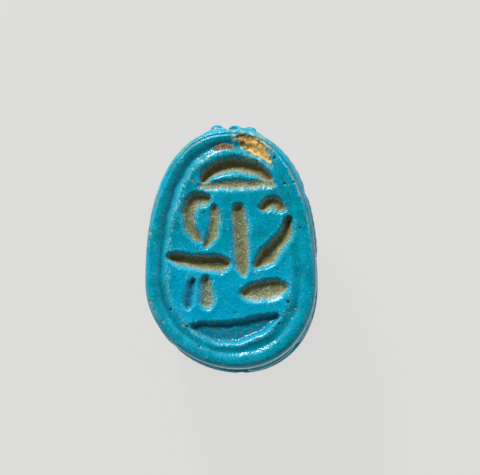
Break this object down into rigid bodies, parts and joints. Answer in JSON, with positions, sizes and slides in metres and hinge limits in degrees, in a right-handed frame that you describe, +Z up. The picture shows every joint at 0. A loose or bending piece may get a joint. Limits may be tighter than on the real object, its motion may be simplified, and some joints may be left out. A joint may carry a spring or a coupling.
{
  "type": "scarab amulet",
  "caption": "Glazed faience scarab amulet lying on its domed back, its egg-shaped carved underside up, pierced lengthwise for a thread.",
  "frame": {"origin": "centre of the bounding box on the surface that the domed back rests on", "axes": "+Y towards the beetle's head, +Z up out of the carved underside, +X towards the right of that underside seen from above with the head end away from the viewer"},
  "size_m": [0.0116, 0.0172, 0.0074],
  "materials": {
    "faience_glaze": "worn turquoise-blue glaze, glossy with matt brown deposits in the carving"
  },
  "bodies": {
    "root": {"scarab": "faience_glaze"}
  },
  "joints": []
}
